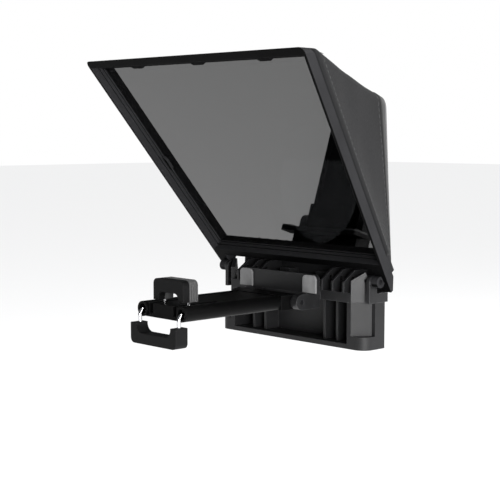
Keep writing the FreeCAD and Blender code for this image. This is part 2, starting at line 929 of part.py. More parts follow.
def mirrored(source, name):
    """The same shape on the other side of the middle."""
    copy = doc.addObject("Part::Mirroring", name)
    copy.Source = source
    copy.Normal = Vector(1, 0, 0)
    return copy


def ramp_plate(name, start, thickness):
    """One upright plate whose top edge climbs towards the frame."""
    outline_sketch = doc.addObject("Sketcher::SketchObject", name + "_side")
    outline_sketch.Placement = Placement(Vector(), Rotation(Vector(1, 1, 1), 120))
    draw_polygon(
        outline_sketch,
        [
            ("base_front", "base_split + 1.0"),
            ("plate_front", "base_split + 1.0"),
            ("plate_front", "rib_rear_top"),
            ("rib_knee", "rib_rear_top"),
            ("base_front", "rib_front_top"),
        ],
    )
    plate = doc.addObject("Part::Extrusion", name)
    plate.Base = outline_sketch
    plate.DirMode = "Normal"
    plate.Solid = True
    bind(plate, LengthFwd=thickness)
    return bind(plate, Placement__Base__x=start)


def make_housing_screws():
    screws = []
    for side, x in (("right", "housing_screw_x"), ("left", "-housing_screw_x")):
        low = "base_bottom + 0.5"
        top = rod("housing_head_" + side, "z", "screw_head", "head_thick", x, "housing_screw_y", low)
        shank = rod(
            "housing_shank_" + side, "z", "screw_radius", "deck_top - base_bottom - 3.0",
            x, "housing_screw_y", low + " + head_thick",
        )
        screws.append(join("housing_screw_" + side, [top, shank]))
    return node(group("housing_screw_group", screws), "housing_screws")


def make_rear_jaw():
    """The fixed jaw behind the phone, standing on the two tray arms."""
    piece = body("rear_jaw")
    face = sketch_on(piece, "jaw_outline", "XZ_Plane", "-jaw_front - jaw_thick")
    draw_polygon(
        face,
        [
            ("-jaw_half", "jaw_foot"),
            ("jaw_half", "jaw_foot"),
            ("jaw_half", "jaw_top"),
            ("-jaw_half", "jaw_top"),
        ],
    )
    pad(piece, "jaw_plate", face, "jaw_thick - jaw_pad_thick")
    soften(piece, "jaw_corners", "jaw_corner", lambda e: e.BoundBox.YLength > 1.0
           and e.BoundBox.ZMin > -52.0 and e.BoundBox.XLength < 0.01)
    foot = sketch_on(piece, "jaw_foot_outline", "XY_Plane", "jaw_foot")
    draw_polygon(
        foot,
        [
            ("-arm_inner - arm_thick", "jaw_front + jaw_thick"),
            ("arm_inner + arm_thick", "jaw_front + jaw_thick"),
            ("arm_inner + arm_thick", "base_front"),
            ("-arm_inner - arm_thick", "base_front"),
        ],
    )
    pad(piece, "jaw_heel", foot, "jaw_heel_height")
    return piece


def make_jaw_pad(side, sign):
    """A grey rubber pad that takes the phone's rear edge."""
    low = "jaw_half - jaw_pad_width" if sign > 0 else "-jaw_half"
    high = "jaw_half" if sign > 0 else "-jaw_half + jaw_pad_width"
    pad_block = block(
        "jaw_pad_block_" + side, low, high, "jaw_front", "jaw_front + jaw_pad_thick",
        "jaw_foot + 0.6", "jaw_top - 0.4",
    )
    label = "rear_jaw_pad_" + side
    top = rounded(
        "jaw_pad_" + side, pad_block, 2.6,
        lambda e: e.BoundBox.YLength > 0.5 and e.BoundBox.ZMin > -52.0 and e.BoundBox.XLength < 0.01,
    )
    return node(top, label)


# ---- tray -------------------------------------------------------------------------------


def make_tray_pin():
    length = "2*arm_inner + 2*arm_thick"
    pin = rod("tray_pin", "x", "pin_radius", length, "-arm_inner - arm_thick", "tray_y", "tray_z")
    return node(pin, "tray_hinge_pin")


def make_tray_tongue():
    parts = [
        block("web", "-web_half", "web_half", "web_front", "block_front", "web_bottom", "web_top"),
        block("tongue_block", "-knuckle_half", "knuckle_half", "block_front", "tray_y",
              "web_bottom - 0.2", "web_top + 0.4"),
        rod("tongue_knuckle", "x", "knuckle_radius", "2*knuckle_half", "-knuckle_half",
            "tray_y", "tray_z"),
    ]
    solid = join("tongue_solid", parts)
    tools = [
        rod("tongue_bore", "x", "pin_bore", "60.0", "-30.0", "tray_y", "tray_z"),
        block("chamber", "-wire_pitch - 0.5*channel_width", "wire_pitch + 0.5*channel_width",
              "chamber_front", "chamber_rear", "channel_floor", "web_top + 1.0"),
        block("cover_seat", "-cover_half", "cover_half", "chamber_front", "chamber_rear",
              "web_top - cover_thick", "web_top + 1.0"),
    ]
    for side, sign in (("right", ""), ("left", "-")):
        middle = sign + "wire_pitch"
        tools.append(
            block("channel_" + side, middle + " - 0.5*channel_width",
                  middle + " + 0.5*channel_width", "web_front - 1.0", "chamber_front + 1.0",
                  "channel_floor", "web_top + 1.0")
        )
        tools.append(
            rod("tube_seat_" + side, "y", "tube_radius", "tube_rear - tube_front + 1.0",
                sign + "tube_pitch", "tube_front - 1.0", "tray_z")
        )
    return node(carve("tongue", solid, tools), "tray_tongue")


def make_tongue_cover():
    cover = block("cover", "-cover_half", "cover_half", "chamber_front", "chamber_rear",
                  "web_top - cover_thick", "web_top")
    slots = []
    for side, sign in (("right", ""), ("left", "-")):
        middle = sign + "wire_pitch"
        slots.append(
            block("cover_slot_" + side, middle + " - 0.5*channel_width",
                  middle + " + 0.5*channel_width", "chamber_front - 1.0", "cover_slot_rear",
                  "web_top - 2.0", "web_top + 1.0")
        )
    return node(carve("cover_plate", cover, slots), "tongue_cover")


def make_tray_tube(side, sign):
    x = sign + "tube_pitch"
    outer = rod("tube_outer_" + side, "y", "tube_radius", "tube_rear - tube_front",
                x, "tube_front", "tray_z")
    inner = rod("tube_inner_" + side, "y", "tube_bore", "tube_rear - tube_front + 2.0",
                x, "tube_front - 1.0", "tray_z")
    return node(carve("tube_" + side, outer, [inner]), "tray_tube_" + side)


def make_tube_bush(side, sign):
    x = sign + "tube_pitch"
    outer = rod("bush_outer_" + side, "y", "tube_bore", "bush_length", x, "bush_front", "tray_z")
    inner = rod("bush_inner_" + side, "y", "rod_bore", "bush_length + 2.0",
                x, "bush_front - 1.0", "tray_z")
    return node(carve("bush_" + side, outer, [inner]), "tube_bush_" + side)


# ---- phone clamp ------------------------------------------------------------------------


def make_phone_hook():
    """The arched front jaw, hollow below between its two legs."""
    piece = body("phone_hook")
    face = sketch_on(piece, "hook_face", "XZ_Plane", "-hook_split")
    draw_polygon(
        face,
        [
            ("-hook_half", "hook_low"),
            ("-arch_half", "hook_low"),
            ("-arch_half", "arch_top"),
            ("arch_half", "arch_top"),
            ("arch_half", "hook_low"),
            ("hook_half", "hook_low"),
            ("hook_half", "hook_top"),
            ("-hook_half", "hook_top"),
        ],
    )
    pad(piece, "hook_block", face, "hook_split - hook_front")
    soften(piece, "hook_corners", "hook_corner", lambda e: e.BoundBox.YLength > 1.0
           and e.BoundBox.ZMin > -58.0 and e.BoundBox.XLength < 0.01)
    return piece


def make_hook_pad():
    """The ribbed rubber rear of the hook, with the bores for the wires' ends."""
    piece = body("phone_hook_pad")
    face = sketch_on(piece, "hook_pad_face", "XZ_Plane", "-hook_rear")
    draw_polygon(
        face,
        [
            ("-hook_half", "hook_low"),
            ("-arch_half", "hook_low"),
            ("-arch_half", "arch_top"),
            ("arch_half", "arch_top"),
            ("arch_half", "hook_low"),
            ("hook_half", "hook_low"),
            ("hook_half", "hook_top"),
            ("-hook_half", "hook_top"),
        ],
    )
    pad(piece, "hook_pad_block", face, "hook_rear - hook_split")
    soften(piece, "hook_pad_corners", "hook_corner", lambda e: e.BoundBox.YLength > 1.0
           and e.BoundBox.ZMin > -58.0 and e.BoundBox.XLength < 0.01)
    for index in range(3):
        start = "hook_split + 1.0 + %d*groove_pitch" % index
        for side, x in (("right", "hook_half"), ("left", "-hook_half")):
            groove = sketch_on(piece, "groove_%s_%d" % (side, index), "XY_Plane", "hook_top + 1.0")
            draw_polygon(
                groove,
                [
                    (x + " - groove_deep", start),
                    (x + " + groove_deep", start),
                    (x + " + groove_deep", start + " + groove_width"),
                    (x + " - groove_deep", start + " + groove_width"),
                ],
            )
            pocket(piece, "groove_cut_%s_%d" % (side, index), groove, "hook_top - hook_low + 2.0")
    for side, x in (("right", "wire_pitch"), ("left", "-wire_pitch")):
        hole = sketch_on(piece, "wire_hole_" + side, "XY_Plane", "hook_low")
        draw_circle(hole, x, "wire_upright", "rod_radius")
        pocket(piece, "wire_bore_" + side, hole, "wire_top - hook_low", forward=True)
    return piece


def bent_wire(name, x, upright_y, upright_end, level_y, bend, radius):
    """A round wire that runs level in the tray and turns up or down into its jaw."""
    level = VALUES["tray_z"]
    up = 1.0 if upright_end > level else -1.0
    start = Vector(x, level_y, level)
    corner = Vector(x, upright_y, level)
    turn_start = corner + Vector(0, bend, 0)
    turn_end = corner + Vector(0, 0, up * bend)
    middle = turn_start + Vector(0, 0, up * bend)
    turn_mid = middle + Vector(0, -bend * 0.70710678, -up * bend * 0.70710678)
    path = Part.Wire([
        Part.LineSegment(start, turn_start).toShape(),
        Part.Arc(turn_start, turn_mid, turn_end).toShape(),
        Part.LineSegment(turn_end, Vector(x, upright_y, upright_end)).toShape(),
    ])
    profile = Part.Wire(Part.Circle(start, Vector(0, -1, 0), radius).toShape())
    return path.makePipeShell([profile], True, False)


def make_phone_wire():
    """One chrome wire: two uprights in the hook, two rods and a cross-bar under the cover."""
    shape = None
    for sign in (1.0, -1.0):
        leg = bent_wire(
            "wire", sign * VALUES["wire_pitch"], VALUES["wire_upright"], VALUES["wire_top"],
            VALUES["wire_rear"], VALUES["wire_bend"], VALUES["rod_radius"],
        )
        shape = leg if shape is None else shape.fuse(leg)
    bar_start = Vector(-VALUES["wire_pitch"], VALUES["wire_rear"], VALUES["tray_z"])
    bar = Part.makeCylinder(
        VALUES["rod_radius"], 2 * VALUES["wire_pitch"], bar_start, Vector(1, 0, 0)
    )
    ends = [
        Part.makeSphere(VALUES["rod_radius"], Vector(s * VALUES["wire_pitch"],
                        VALUES["wire_rear"], VALUES["tray_z"]))
        for s in (1.0, -1.0)
    ]
    shape = shape.fuse([bar] + ends).removeSplitter()
    wire = doc.addObject("Part::Feature", "phone_wire")
    wire.Shape = shape
    return node(wire, "phone_clamp_wire")


def make_clamp_spring():
    """The closing spring, drawn as the plain envelope of its coils."""
    spring = rod("spring", "y", "spring_radius", "chamber_rear - wire_rear - rod_radius",
                 "0.0", "wire_rear + rod_radius", "tray_z + 0.3")
    return node(spring, "clamp_spring")


# ---- tablet clamp -----------------------------------------------------------------------


def dip_corner(edge):
    """True for the two inner corners of the jaw's dip."""
    box = edge.BoundBox
    level = abs(box.Center.z - VALUES["jaw_block_mid"]) < 0.01
    return level and box.YLength > 1.0 and box.XLength < 0.01


def make_tablet_jaw():
    piece = body("tablet_jaw")
    face = sketch_on(piece, "tablet_jaw_face", "XZ_Plane", "-jaw_block_rear")
    draw_polygon(
        face,
        [
            ("-jaw_block_half", "jaw_block_low"),
            ("jaw_block_half", "jaw_block_low"),
            ("jaw_block_half", "jaw_block_top"),
            ("jaw_leg_inner", "jaw_block_top"),
            ("jaw_leg_inner", "jaw_block_mid"),
            ("-jaw_leg_inner", "jaw_block_mid"),
            ("-jaw_leg_inner", "jaw_block_top"),
            ("-jaw_block_half", "jaw_block_top"),
        ],
    )
    pad(piece, "tablet_jaw_block", face, "jaw_block_rear - jaw_block_front")
    soften(piece, "tablet_jaw_corners", "jaw_block_corner", lambda e: e.BoundBox.YLength > 1.0
           and e.BoundBox.ZMax < -84.0 and e.BoundBox.XLength < 0.01)
    soften(piece, "tablet_jaw_dip", "jaw_dip_radius", dip_corner)
    for side, x in (("right", "tube_pitch"), ("left", "-tube_pitch")):
        hole = sketch_on(piece, "jaw_hole_" + side, "XY_Plane", "jaw_block_top")
        draw_circle(hole, x, "jaw_rod_y", "rod_radius")
        pocket(piece, "jaw_bore_" + side, hole, "jaw_block_top - rod_down")
    return piece


def make_tablet_pad():
    """A thin rubber facing on the side that meets the tablet."""
    facing = block(
        "tablet_pad_block", "-tablet_pad_half", "tablet_pad_half", "jaw_block_rear",
        "jaw_block_rear + tablet_pad_thick", "jaw_block_low + 1.5", "jaw_block_mid - 1.0",
    )
    return node(facing, "tablet_jaw_pad")


def make_tablet_rod(side, sign):
    shape = bent_wire(
        "rod", sign * VALUES["tube_pitch"], VALUES["jaw_rod_y"], VALUES["rod_down"],
        VALUES["rod_rear"], VALUES["rod_bend"], VALUES["rod_radius"],
    )
    wire = doc.addObject("Part::Feature", "tablet_rod_shape_" + side)
    wire.Shape = shape
    return node(wire, "tablet_rod_" + side)


def make_rod_stop(side, sign):
    x = sign + "tube_pitch"
    outer = rod("stop_outer_" + side, "y", "stop_radius", "stop_length", x, "rod_rear", "tray_z")
    inner = rod("stop_inner_" + side, "y", "rod_radius", "stop_length", x, "rod_rear - 1.0", "tray_z")
    return node(carve("stop_" + side, outer, [inner]), "rod_stop_" + side)


# ---- fabric hood ------------------------------------------------------------------------


def frame_hoop(depth, drop, name):
    """The fabric's outline on the back of the frame: both sides and the level top."""
    low = "frame_low_half + side_slope*hood_low - %s"
    high = "frame_low_half + side_slope*frame_top - side_slope*" + drop + " - %s"
    top = "frame_top - " + drop
    side_top = top + " - frame_corner*corner_cut"
    outer = "fabric_gap"
    inner = "fabric_gap - fabric_thick"
    crown = "rebate_in - frame_corner*corner_cut"
    hoop = doc.addObject("Sketcher::SketchObject", name)
    draw_polygon(
        hoop,
        hoop_corners(
            [low % outer, "hood_low"],
            [high % outer, side_top],
            [high % crown, top],
            [low % inner, "hood_low"],
            [high % inner, side_top],
            [high % crown, top + " - fabric_rise"],
        ),
    )
    hoop.Placement = frame_placement().multiply(Placement(Vector(0, 0, -depth), Rotation()))
    return hoop


def hoop_corners(out_low, out_side, out_top, in_low, in_side, in_top):
    """A U-shaped outline from its right-hand corners, outside first and then inside."""
    def left(corner):
        return ("-" + swapped(corner[0]), corner[1])

    return [
        left(out_low), left(out_side), left(out_top),
        tuple(out_top), tuple(out_side), tuple(out_low),
        tuple(in_low), tuple(in_side), tuple(in_top),
        left(in_top), left(in_side), left(in_low),
    ]


def plate_hoop(name):
    hoop = doc.addObject("Sketcher::SketchObject", name)
    hoop.Placement = Placement(Vector(0, VALUES["hood_rear"], 0), Rotation(Vector(1, 0, 0), 90))
    draw_polygon(
        hoop,
        hoop_corners(
            ["hood_rear_low_half + fabric_thick", "hood_rear_low"],
            ["plate_top_half + 0.6 + fabric_thick", "plate_top - plate_corner*corner_cut"],
            ["plate_top_half - plate_corner*corner_cut", "plate_top + 0.2 + fabric_thick"],
            ["hood_rear_low_half", "hood_rear_low"],
            ["plate_top_half + 0.6", "plate_top - plate_corner*corner_cut"],
            ["plate_top_half - plate_corner*corner_cut", "plate_top + 0.2"],
        ),
    )
    return hoop


def make_hood():
    """A soft hood from the back of the frame to the edge of the rear plate."""
    front = frame_hoop(VALUES["frame_front"] + VALUES["band_depth"] + 0.1, "hem_drop", "hood_hem")
    middle = frame_hoop(VALUES["frame_front"] + VALUES["frame_depth"], "start_drop", "hood_start")
    rear = plate_hoop("hood_end")
    hood = doc.addObject("Part::Loft", "hood")
    hood.Sections = [front, middle, rear]
    hood.Solid = True
    hood.Ruled = True
    return node(hood, "hood_fabric")


# ---- build ------------------------------------------------------------------------------

make_lower_housing()
make_ramp_deck()
make_housing_screws()
make_rear_plate()
make_plate_screws()
make_retainer()
make_retainer_screws()
make_rear_jaw()
make_tray_pin()
make_frame_surround()
make_glass()
make_back_ring()
make_glass_clips()
make_hood()
make_tray_tongue()
make_tongue_cover()
make_phone_hook()
make_hook_pad()
make_phone_wire()
make_clamp_spring()
make_tablet_jaw()
make_tablet_pad()
make_lens_ring()
for side_name, side_sign, side_prefix in (("right", 1.0, ""), ("left", -1.0, "-")):
    make_jaw_pad(side_name, side_sign)
    make_side_catch(side_name, side_sign)
    make_hinge_pin(side_name, side_sign)
    make_hinge_washer(side_name, side_sign)
    make_tray_tube(side_name, side_prefix)
    make_tube_bush(side_name, side_prefix)
    make_tablet_rod(side_name, side_sign)
    make_rod_stop(side_name, side_prefix)
doc.recompute()

for obj in doc.Objects:
    if "Invalid" in obj.State or "Error" in obj.State:
        raise RuntimeError("%s is in state %s" % (obj.Label, obj.State))
for obj in NODES:
    if obj.Shape.isNull() or not obj.Shape.isValid() or not obj.Shape.Solids:
        raise RuntimeError("%s has no valid solid" % obj.Label)

os.makedirs("parts", exist_ok=True)
for obj in NODES:
    obj.Shape.exportStep("parts/" + obj.Label + ".step")
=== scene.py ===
import math

import bmesh
import bpy
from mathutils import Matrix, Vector, noise


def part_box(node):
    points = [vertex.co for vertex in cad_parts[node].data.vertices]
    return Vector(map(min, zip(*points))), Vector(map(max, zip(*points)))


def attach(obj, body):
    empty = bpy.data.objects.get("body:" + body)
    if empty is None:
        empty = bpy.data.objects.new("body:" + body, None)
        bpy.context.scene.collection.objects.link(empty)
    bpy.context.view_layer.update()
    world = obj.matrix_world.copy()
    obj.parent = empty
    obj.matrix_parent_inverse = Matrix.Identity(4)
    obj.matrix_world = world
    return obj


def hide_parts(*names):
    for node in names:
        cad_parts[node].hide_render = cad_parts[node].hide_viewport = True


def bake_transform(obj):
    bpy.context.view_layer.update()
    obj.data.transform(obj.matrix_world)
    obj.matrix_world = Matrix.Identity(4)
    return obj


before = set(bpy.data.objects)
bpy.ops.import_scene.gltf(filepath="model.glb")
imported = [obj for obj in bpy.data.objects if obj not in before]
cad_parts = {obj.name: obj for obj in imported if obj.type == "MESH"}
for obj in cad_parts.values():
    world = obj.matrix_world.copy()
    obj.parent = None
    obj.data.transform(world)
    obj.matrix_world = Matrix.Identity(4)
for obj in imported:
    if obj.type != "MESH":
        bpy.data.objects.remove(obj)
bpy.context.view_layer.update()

MM = 0.001

# The glass frame, in millimetres: its hinge, the way up its slope and the way out of the glass.
HINGE = Vector((0.0, -18.5, -53.0))
SLOPE = math.radians(54.2)
UP = Vector((0.0, -math.cos(SLOPE), math.sin(SLOPE)))
OUT = Vector((0.0, -math.sin(SLOPE), -math.cos(SLOPE)))

# Points nearer than this belong together where a mesh was split along its edges.
WELD = 0.002 * MM

# ---- shared code ------------------------------------------------------------------------


def added(name, data):
    """A new object that holds the data, in the scene."""
    item = bpy.data.objects.new(name, data)
    bpy.context.scene.collection.objects.link(item)
    return item


def aim(item, direction):
    """Turns a camera or lamp to look along a direction."""
    item.rotation_mode = "QUATERNION"
    item.rotation_quaternion = direction.to_track_quat("-Z", "Y")


def quad_grid(rows, columns, base=0, closed=False):
    """Quads over rows of vertices; closed joins each row's end to its start."""
    faces = []
    for k in range(rows - 1):
        near, far = base + k * columns, base + (k + 1) * columns
        for i in range(columns if closed else columns - 1):
            j = (i + 1) % columns
            faces.append((near + i, near + j, far + j, far + i))
    return faces


def new_mesh(name, verts, faces):
    mesh = bpy.data.meshes.new(name)
    mesh.from_pydata(verts, [], faces)
    return mesh


def face_outwards(mesh, weld=None):
    """Turns every face outwards, after joining points nearer than weld."""
    shape = bmesh.new()
    shape.from_mesh(mesh)
    if weld is not None:
        bmesh.ops.remove_doubles(shape, verts=shape.verts, dist=weld)
    bmesh.ops.recalc_face_normals(shape, faces=shape.faces)
    shape.to_mesh(mesh)
    shape.free()


def surface(mesh, finish, sharp_degrees=None):
    """Smooth shading, broken at edges sharper than an angle, and a finish."""
    for face in mesh.polygons:
        face.use_smooth = True
    if sharp_degrees is not None:
        mesh.set_sharp_from_angle(angle=math.radians(sharp_degrees))
    mesh.materials.append(FINISH[finish])


def thicken(piece, thickness):
    """Gives a sheet its thickness, half to each side."""
    thick = piece.modifiers.new("thick", "SOLIDIFY")
    thick.thickness = thickness
    thick.offset = 0.0


# ---- camera -----------------------------------------------------------------------------


def make_camera():
    azimuth, pitch = math.radians(46.8), math.radians(5.35)
    back = Vector((
        math.sin(azimuth) * math.cos(pitch),
        -math.cos(azimuth) * math.cos(pitch),
        math.sin(pitch),
    ))
    data = bpy.data.cameras.new("camera")
    data.lens = 90.4
    data.sensor_width = 36.0
    data.clip_start, data.clip_end = 0.01, 60.0
    camera = added("camera", data)
    camera.location = (0.5219, -0.5470, 0.0302)
    aim(camera, -back)
    bpy.context.scene.camera = camera


# ---- light ------------------------------------------------------------------------------


def make_world():
    """White backdrop for the eye, and a weaker even light on the object."""
    world = bpy.data.worlds.new("studio")
    bpy.context.scene.world = world
    world.use_nodes = True
    nodes, links = world.node_tree.nodes, world.node_tree.links
    nodes.clear()
    seen = nodes.new("ShaderNodeBackground")
    seen.inputs["Color"].default_value = (1.0, 1.0, 1.0, 1.0)
    seen.inputs["Strength"].default_value = 1.0
    lit = nodes.new("ShaderNodeBackground")
    lit.inputs["Color"].default_value = (0.95, 0.97, 1.0, 1.0)
    lit.inputs["Strength"].default_value = 0.13
    path = nodes.new("ShaderNodeLightPath")
    mix = nodes.new("ShaderNodeMixShader")
    out = nodes.new("ShaderNodeOutputWorld")
    links.new(path.outputs["Is Camera Ray"], mix.inputs[0])
    links.new(lit.outputs[0], mix.inputs[1])
    links.new(seen.outputs[0], mix.inputs[2])
    links.new(mix.outputs[0], out.inputs["Surface"])


def softbox(name, place, target, size, power):
    data = bpy.data.lights.new(name, "AREA")
    data.shape = "RECTANGLE"
    data.size, data.size_y = size
    data.energy = power
    lamp = added(name, data)
    lamp.location = place
    aim(lamp, Vector(target) - Vector(place))


def overhead(strength, angle):
    """Broad soft light from above, spread over an angle in degrees."""
    data = bpy.data.lights.new("overhead", "SUN")
    data.energy = strength
    data.angle = math.radians(angle)
    lamp = added("overhead", data)
    aim(lamp, Vector((-0.25, -0.15, -1.0)))


def make_floor():
    half, level = 9.0, -0.26
    corners = [(-half, -half, level), (half, -half, level), (half, half, level), (-half, half, level)]
    mesh = new_mesh("floor", corners, [(0, 1, 2, 3)])
    floor = added("floor", mesh)
    material = bpy.data.materials.new("studio_paper")
    material.use_nodes = True
    shader = material.node_tree.nodes["Principled BSDF"]
    shader.inputs["Base Color"].default_value = (0.90, 0.90, 0.90, 1.0)
    shader.inputs["Roughness"].default_value = 0.9
    shader.inputs["Specular IOR Level"].default_value = 0.1
    mesh.materials.append(material)


# ---- materials --------------------------------------------------------------------------

# The Mix node's sockets for colours.
MIX_A, MIX_B, MIX_RESULT = 6, 7, 2


class Nodes:
    """Short calls for building one material's nodes."""

    def __init__(self, name):
        self.material = bpy.data.materials.new(name)
        self.material.use_nodes = True
        self.tree = self.material.node_tree
        self.shader = self.tree.nodes["Principled BSDF"]
        self.place = self.add("ShaderNodeTexCoord").outputs["Object"]

    def add(self, kind, **values):
        node = self.tree.nodes.new(kind)
        for key, value in values.items():
            setattr(node, key, value)
        return node

    def link(self, a, b):
        self.tree.links.new(a, b)

    def plain(self, **values):
        for key, value in values.items():
            self.shader.inputs[key.replace("_", " ")].default_value = value

    def noise(self, scale, detail=3.0, roughness=0.55, stretch=None):
        source = self.place
        if stretch:
            mapping = self.add("ShaderNodeMapping")
            mapping.inputs["Scale"].default_value = stretch
            self.link(source, mapping.inputs["Vector"])
            source = mapping.outputs["Vector"]
        node = self.add("ShaderNodeTexNoise")
        node.inputs["Scale"].default_value = scale
        node.inputs["Detail"].default_value = detail
        node.inputs["Roughness"].default_value = roughness
        self.link(source, node.inputs["Vector"])
        return node.outputs["Fac"]

    def ranged(self, value, low, high, from_low=0.3, from_high=0.7):
        node = self.add("ShaderNodeMapRange")
        node.inputs["From Min"].default_value = from_low
        node.inputs["From Max"].default_value = from_high
        node.inputs["To Min"].default_value = low
        node.inputs["To Max"].default_value = high
        self.link(value, node.inputs["Value"])
        return node.outputs["Result"]

    def math(self, kind, a, b):
        node = self.add("ShaderNodeMath", operation=kind)
        for socket, value in zip(node.inputs, (a, b)):
            if isinstance(value, (int, float)):
                socket.default_value = value
            else:
                self.link(value, socket)
        return node.outputs[0]

    def mixed(self, factor, a, b):
        node = self.add("ShaderNodeMix", data_type="RGBA")
        self.link(factor, node.inputs["Factor"])
        for socket, value in ((node.inputs[MIX_A], a), (node.inputs[MIX_B], b)):
            if isinstance(value, tuple):
                socket.default_value = (*value, 1.0)
            else:
                self.link(value, socket)
        return node.outputs[MIX_RESULT]

    def worn_edge(self, radius):
        """1 along outside edges and 0 on flat faces, and the rounded normal."""
        bevel = self.add("ShaderNodeBevel", samples=6)
        bevel.inputs["Radius"].default_value = radius
        shape = self.add("ShaderNodeNewGeometry")
        dot = self.add("ShaderNodeVectorMath", operation="DOT_PRODUCT")
        self.link(bevel.outputs[0], dot.inputs[0])
        self.link(shape.outputs["Normal"], dot.inputs[1])
        return self.ranged(dot.outputs["Value"], 1.0, 0.0, 0.86, 0.995), bevel.outputs[0]

    def facing(self, direction):
        """1 on the piece's own faces that look along a direction, and 0 on the others."""
        dot = self.add("ShaderNodeVectorMath", operation="DOT_PRODUCT")
        self.link(self.add("ShaderNodeTexCoord").outputs["Normal"], dot.inputs[0])
        dot.inputs[1].default_value = direction
        return self.ranged(dot.outputs["Value"], 0.0, 1.0, 0.90, 0.98)

    def bumped(self, height, strength, distance, normal=None):
        node = self.add("ShaderNodeBump")
        node.inputs["Strength"].default_value = strength
        node.inputs["Distance"].default_value = distance
        self.link(height, node.inputs["Height"])
        if normal is not None:
            self.link(normal, node.inputs["Normal"])
        return node.outputs["Normal"]


def grey(value, blue=1.06):
    """A grey with a little blue in it, as most black plastic has."""
    return (value, value, value * blue)


def moulded(name, tone, roughness, grain=1500.0, depth=0.03, specular=0.35, lift=2.4, front=None):
    """Moulded or coated surface: spark-eroded grain, faint cloudiness, handled edges.

    lift is how much lighter the handled edges are. front is a painted shade: the tone of the faces that
    look out of the glass, painted darker than the rest because those faces turn away from the light.
    """
    m = Nodes(name)
    m.plain(Specular_IOR_Level=specular)
    fine = m.noise(grain, 2.0)
    cloud = m.noise(38.0, 4.0)
    wear, round_normal = m.worn_edge(0.35 * MM)
    patchy = m.math("MULTIPLY", wear, m.ranged(m.noise(420.0, 3.0), 0.35, 1.0))
    base = m.mixed(m.ranged(cloud, 0.0, 1.0), grey(tone * 0.86), grey(tone * 1.14))
    # Painted shade: faces that look out of the glass take the darker front tone.
    if front is not None:
        base = m.mixed(m.facing(OUT), base, grey(front))
    m.link(m.mixed(patchy, base, grey(tone * lift + 0.004)), m.shader.inputs["Base Color"])
    rough = m.math("ADD", m.ranged(fine, -0.05, 0.05),
                   m.ranged(cloud, roughness - 0.04, roughness + 0.04))
    m.link(m.math("SUBTRACT", rough, m.math("MULTIPLY", patchy, 0.10)), m.shader.inputs["Roughness"])
    m.link(m.bumped(fine, 0.5, depth * MM, round_normal), m.shader.inputs["Normal"])
    return m.material


def rubber(name, tone, roughness=0.72):
    """Soft matt surface with a little dust: rubber pads, and the hood's thread and binding."""
    m = Nodes(name)
    m.plain(Specular_IOR_Level=0.3, Sheen_Weight=0.12, Sheen_Roughness=0.5)
    fine = m.noise(2600.0, 2.0)
    dust = m.noise(160.0, 5.0)
    wear, round_normal = m.worn_edge(0.4 * MM)
    base = m.mixed(m.ranged(dust, 0.0, 1.0), grey(tone * 0.85, 1.02), grey(tone * 1.2, 1.0))
    m.link(m.mixed(wear, base, grey(tone * 1.5, 1.0)), m.shader.inputs["Base Color"])
    m.link(m.ranged(dust, roughness - 0.06, roughness + 0.08), m.shader.inputs["Roughness"])
    m.link(m.bumped(fine, 0.6, 0.05 * MM, round_normal), m.shader.inputs["Normal"])
    return m.material


def metal(name, colour, roughness, stretch=(1.0, 1.0, 1.0)):
    """Polished or ground metal with fine draw marks along one direction."""
    m = Nodes(name)
    m.plain(Metallic=1.0)
    marks = m.noise(900.0, 3.0, stretch=stretch)
    cloud = m.noise(90.0, 4.0)
    darker = tuple(c * 0.86 for c in colour)
    m.link(m.mixed(m.ranged(cloud, 0.0, 1.0), darker, colour), m.shader.inputs["Base Color"])
    m.link(m.ranged(marks, roughness * 0.7, roughness * 1.5), m.shader.inputs["Roughness"])
    m.link(m.bumped(marks, 0.3, 0.01 * MM), m.shader.inputs["Normal"])
    return m.material


def turned_black(name, tone, roughness):
    """Anodised metal with the lathe's fine rings about the lens axis."""
    m = Nodes(name)
    m.plain(Metallic=0.35, Specular_IOR_Level=0.5)
    parts = m.add("ShaderNodeSeparateXYZ")
    m.link(m.place, parts.inputs[0])
    squared = m.math("ADD", m.math("MULTIPLY", parts.outputs[0], parts.outputs[0]),
                     m.math("MULTIPLY", parts.outputs[2], parts.outputs[2]))
    radius = m.math("SQRT", squared, 0.0)
    ring_pitch = 0.25 * MM
    rings = m.math("SINE", m.math("MULTIPLY", radius, 2 * math.pi / ring_pitch), 0.0)
    cloud = m.noise(60.0, 4.0)
    wear, round_normal = m.worn_edge(0.3 * MM)
    base = m.mixed(m.ranged(cloud, 0.0, 1.0), grey(tone * 0.85), grey(tone * 1.2))
    m.link(m.mixed(wear, base, grey(tone * 4.0)), m.shader.inputs["Base Color"])
    m.link(m.ranged(rings, roughness - 0.05, roughness + 0.07, -1.0, 1.0), m.shader.inputs["Roughness"])
    m.link(m.bumped(rings, 0.35, 0.012 * MM, round_normal), m.shader.inputs["Normal"])
    return m.material


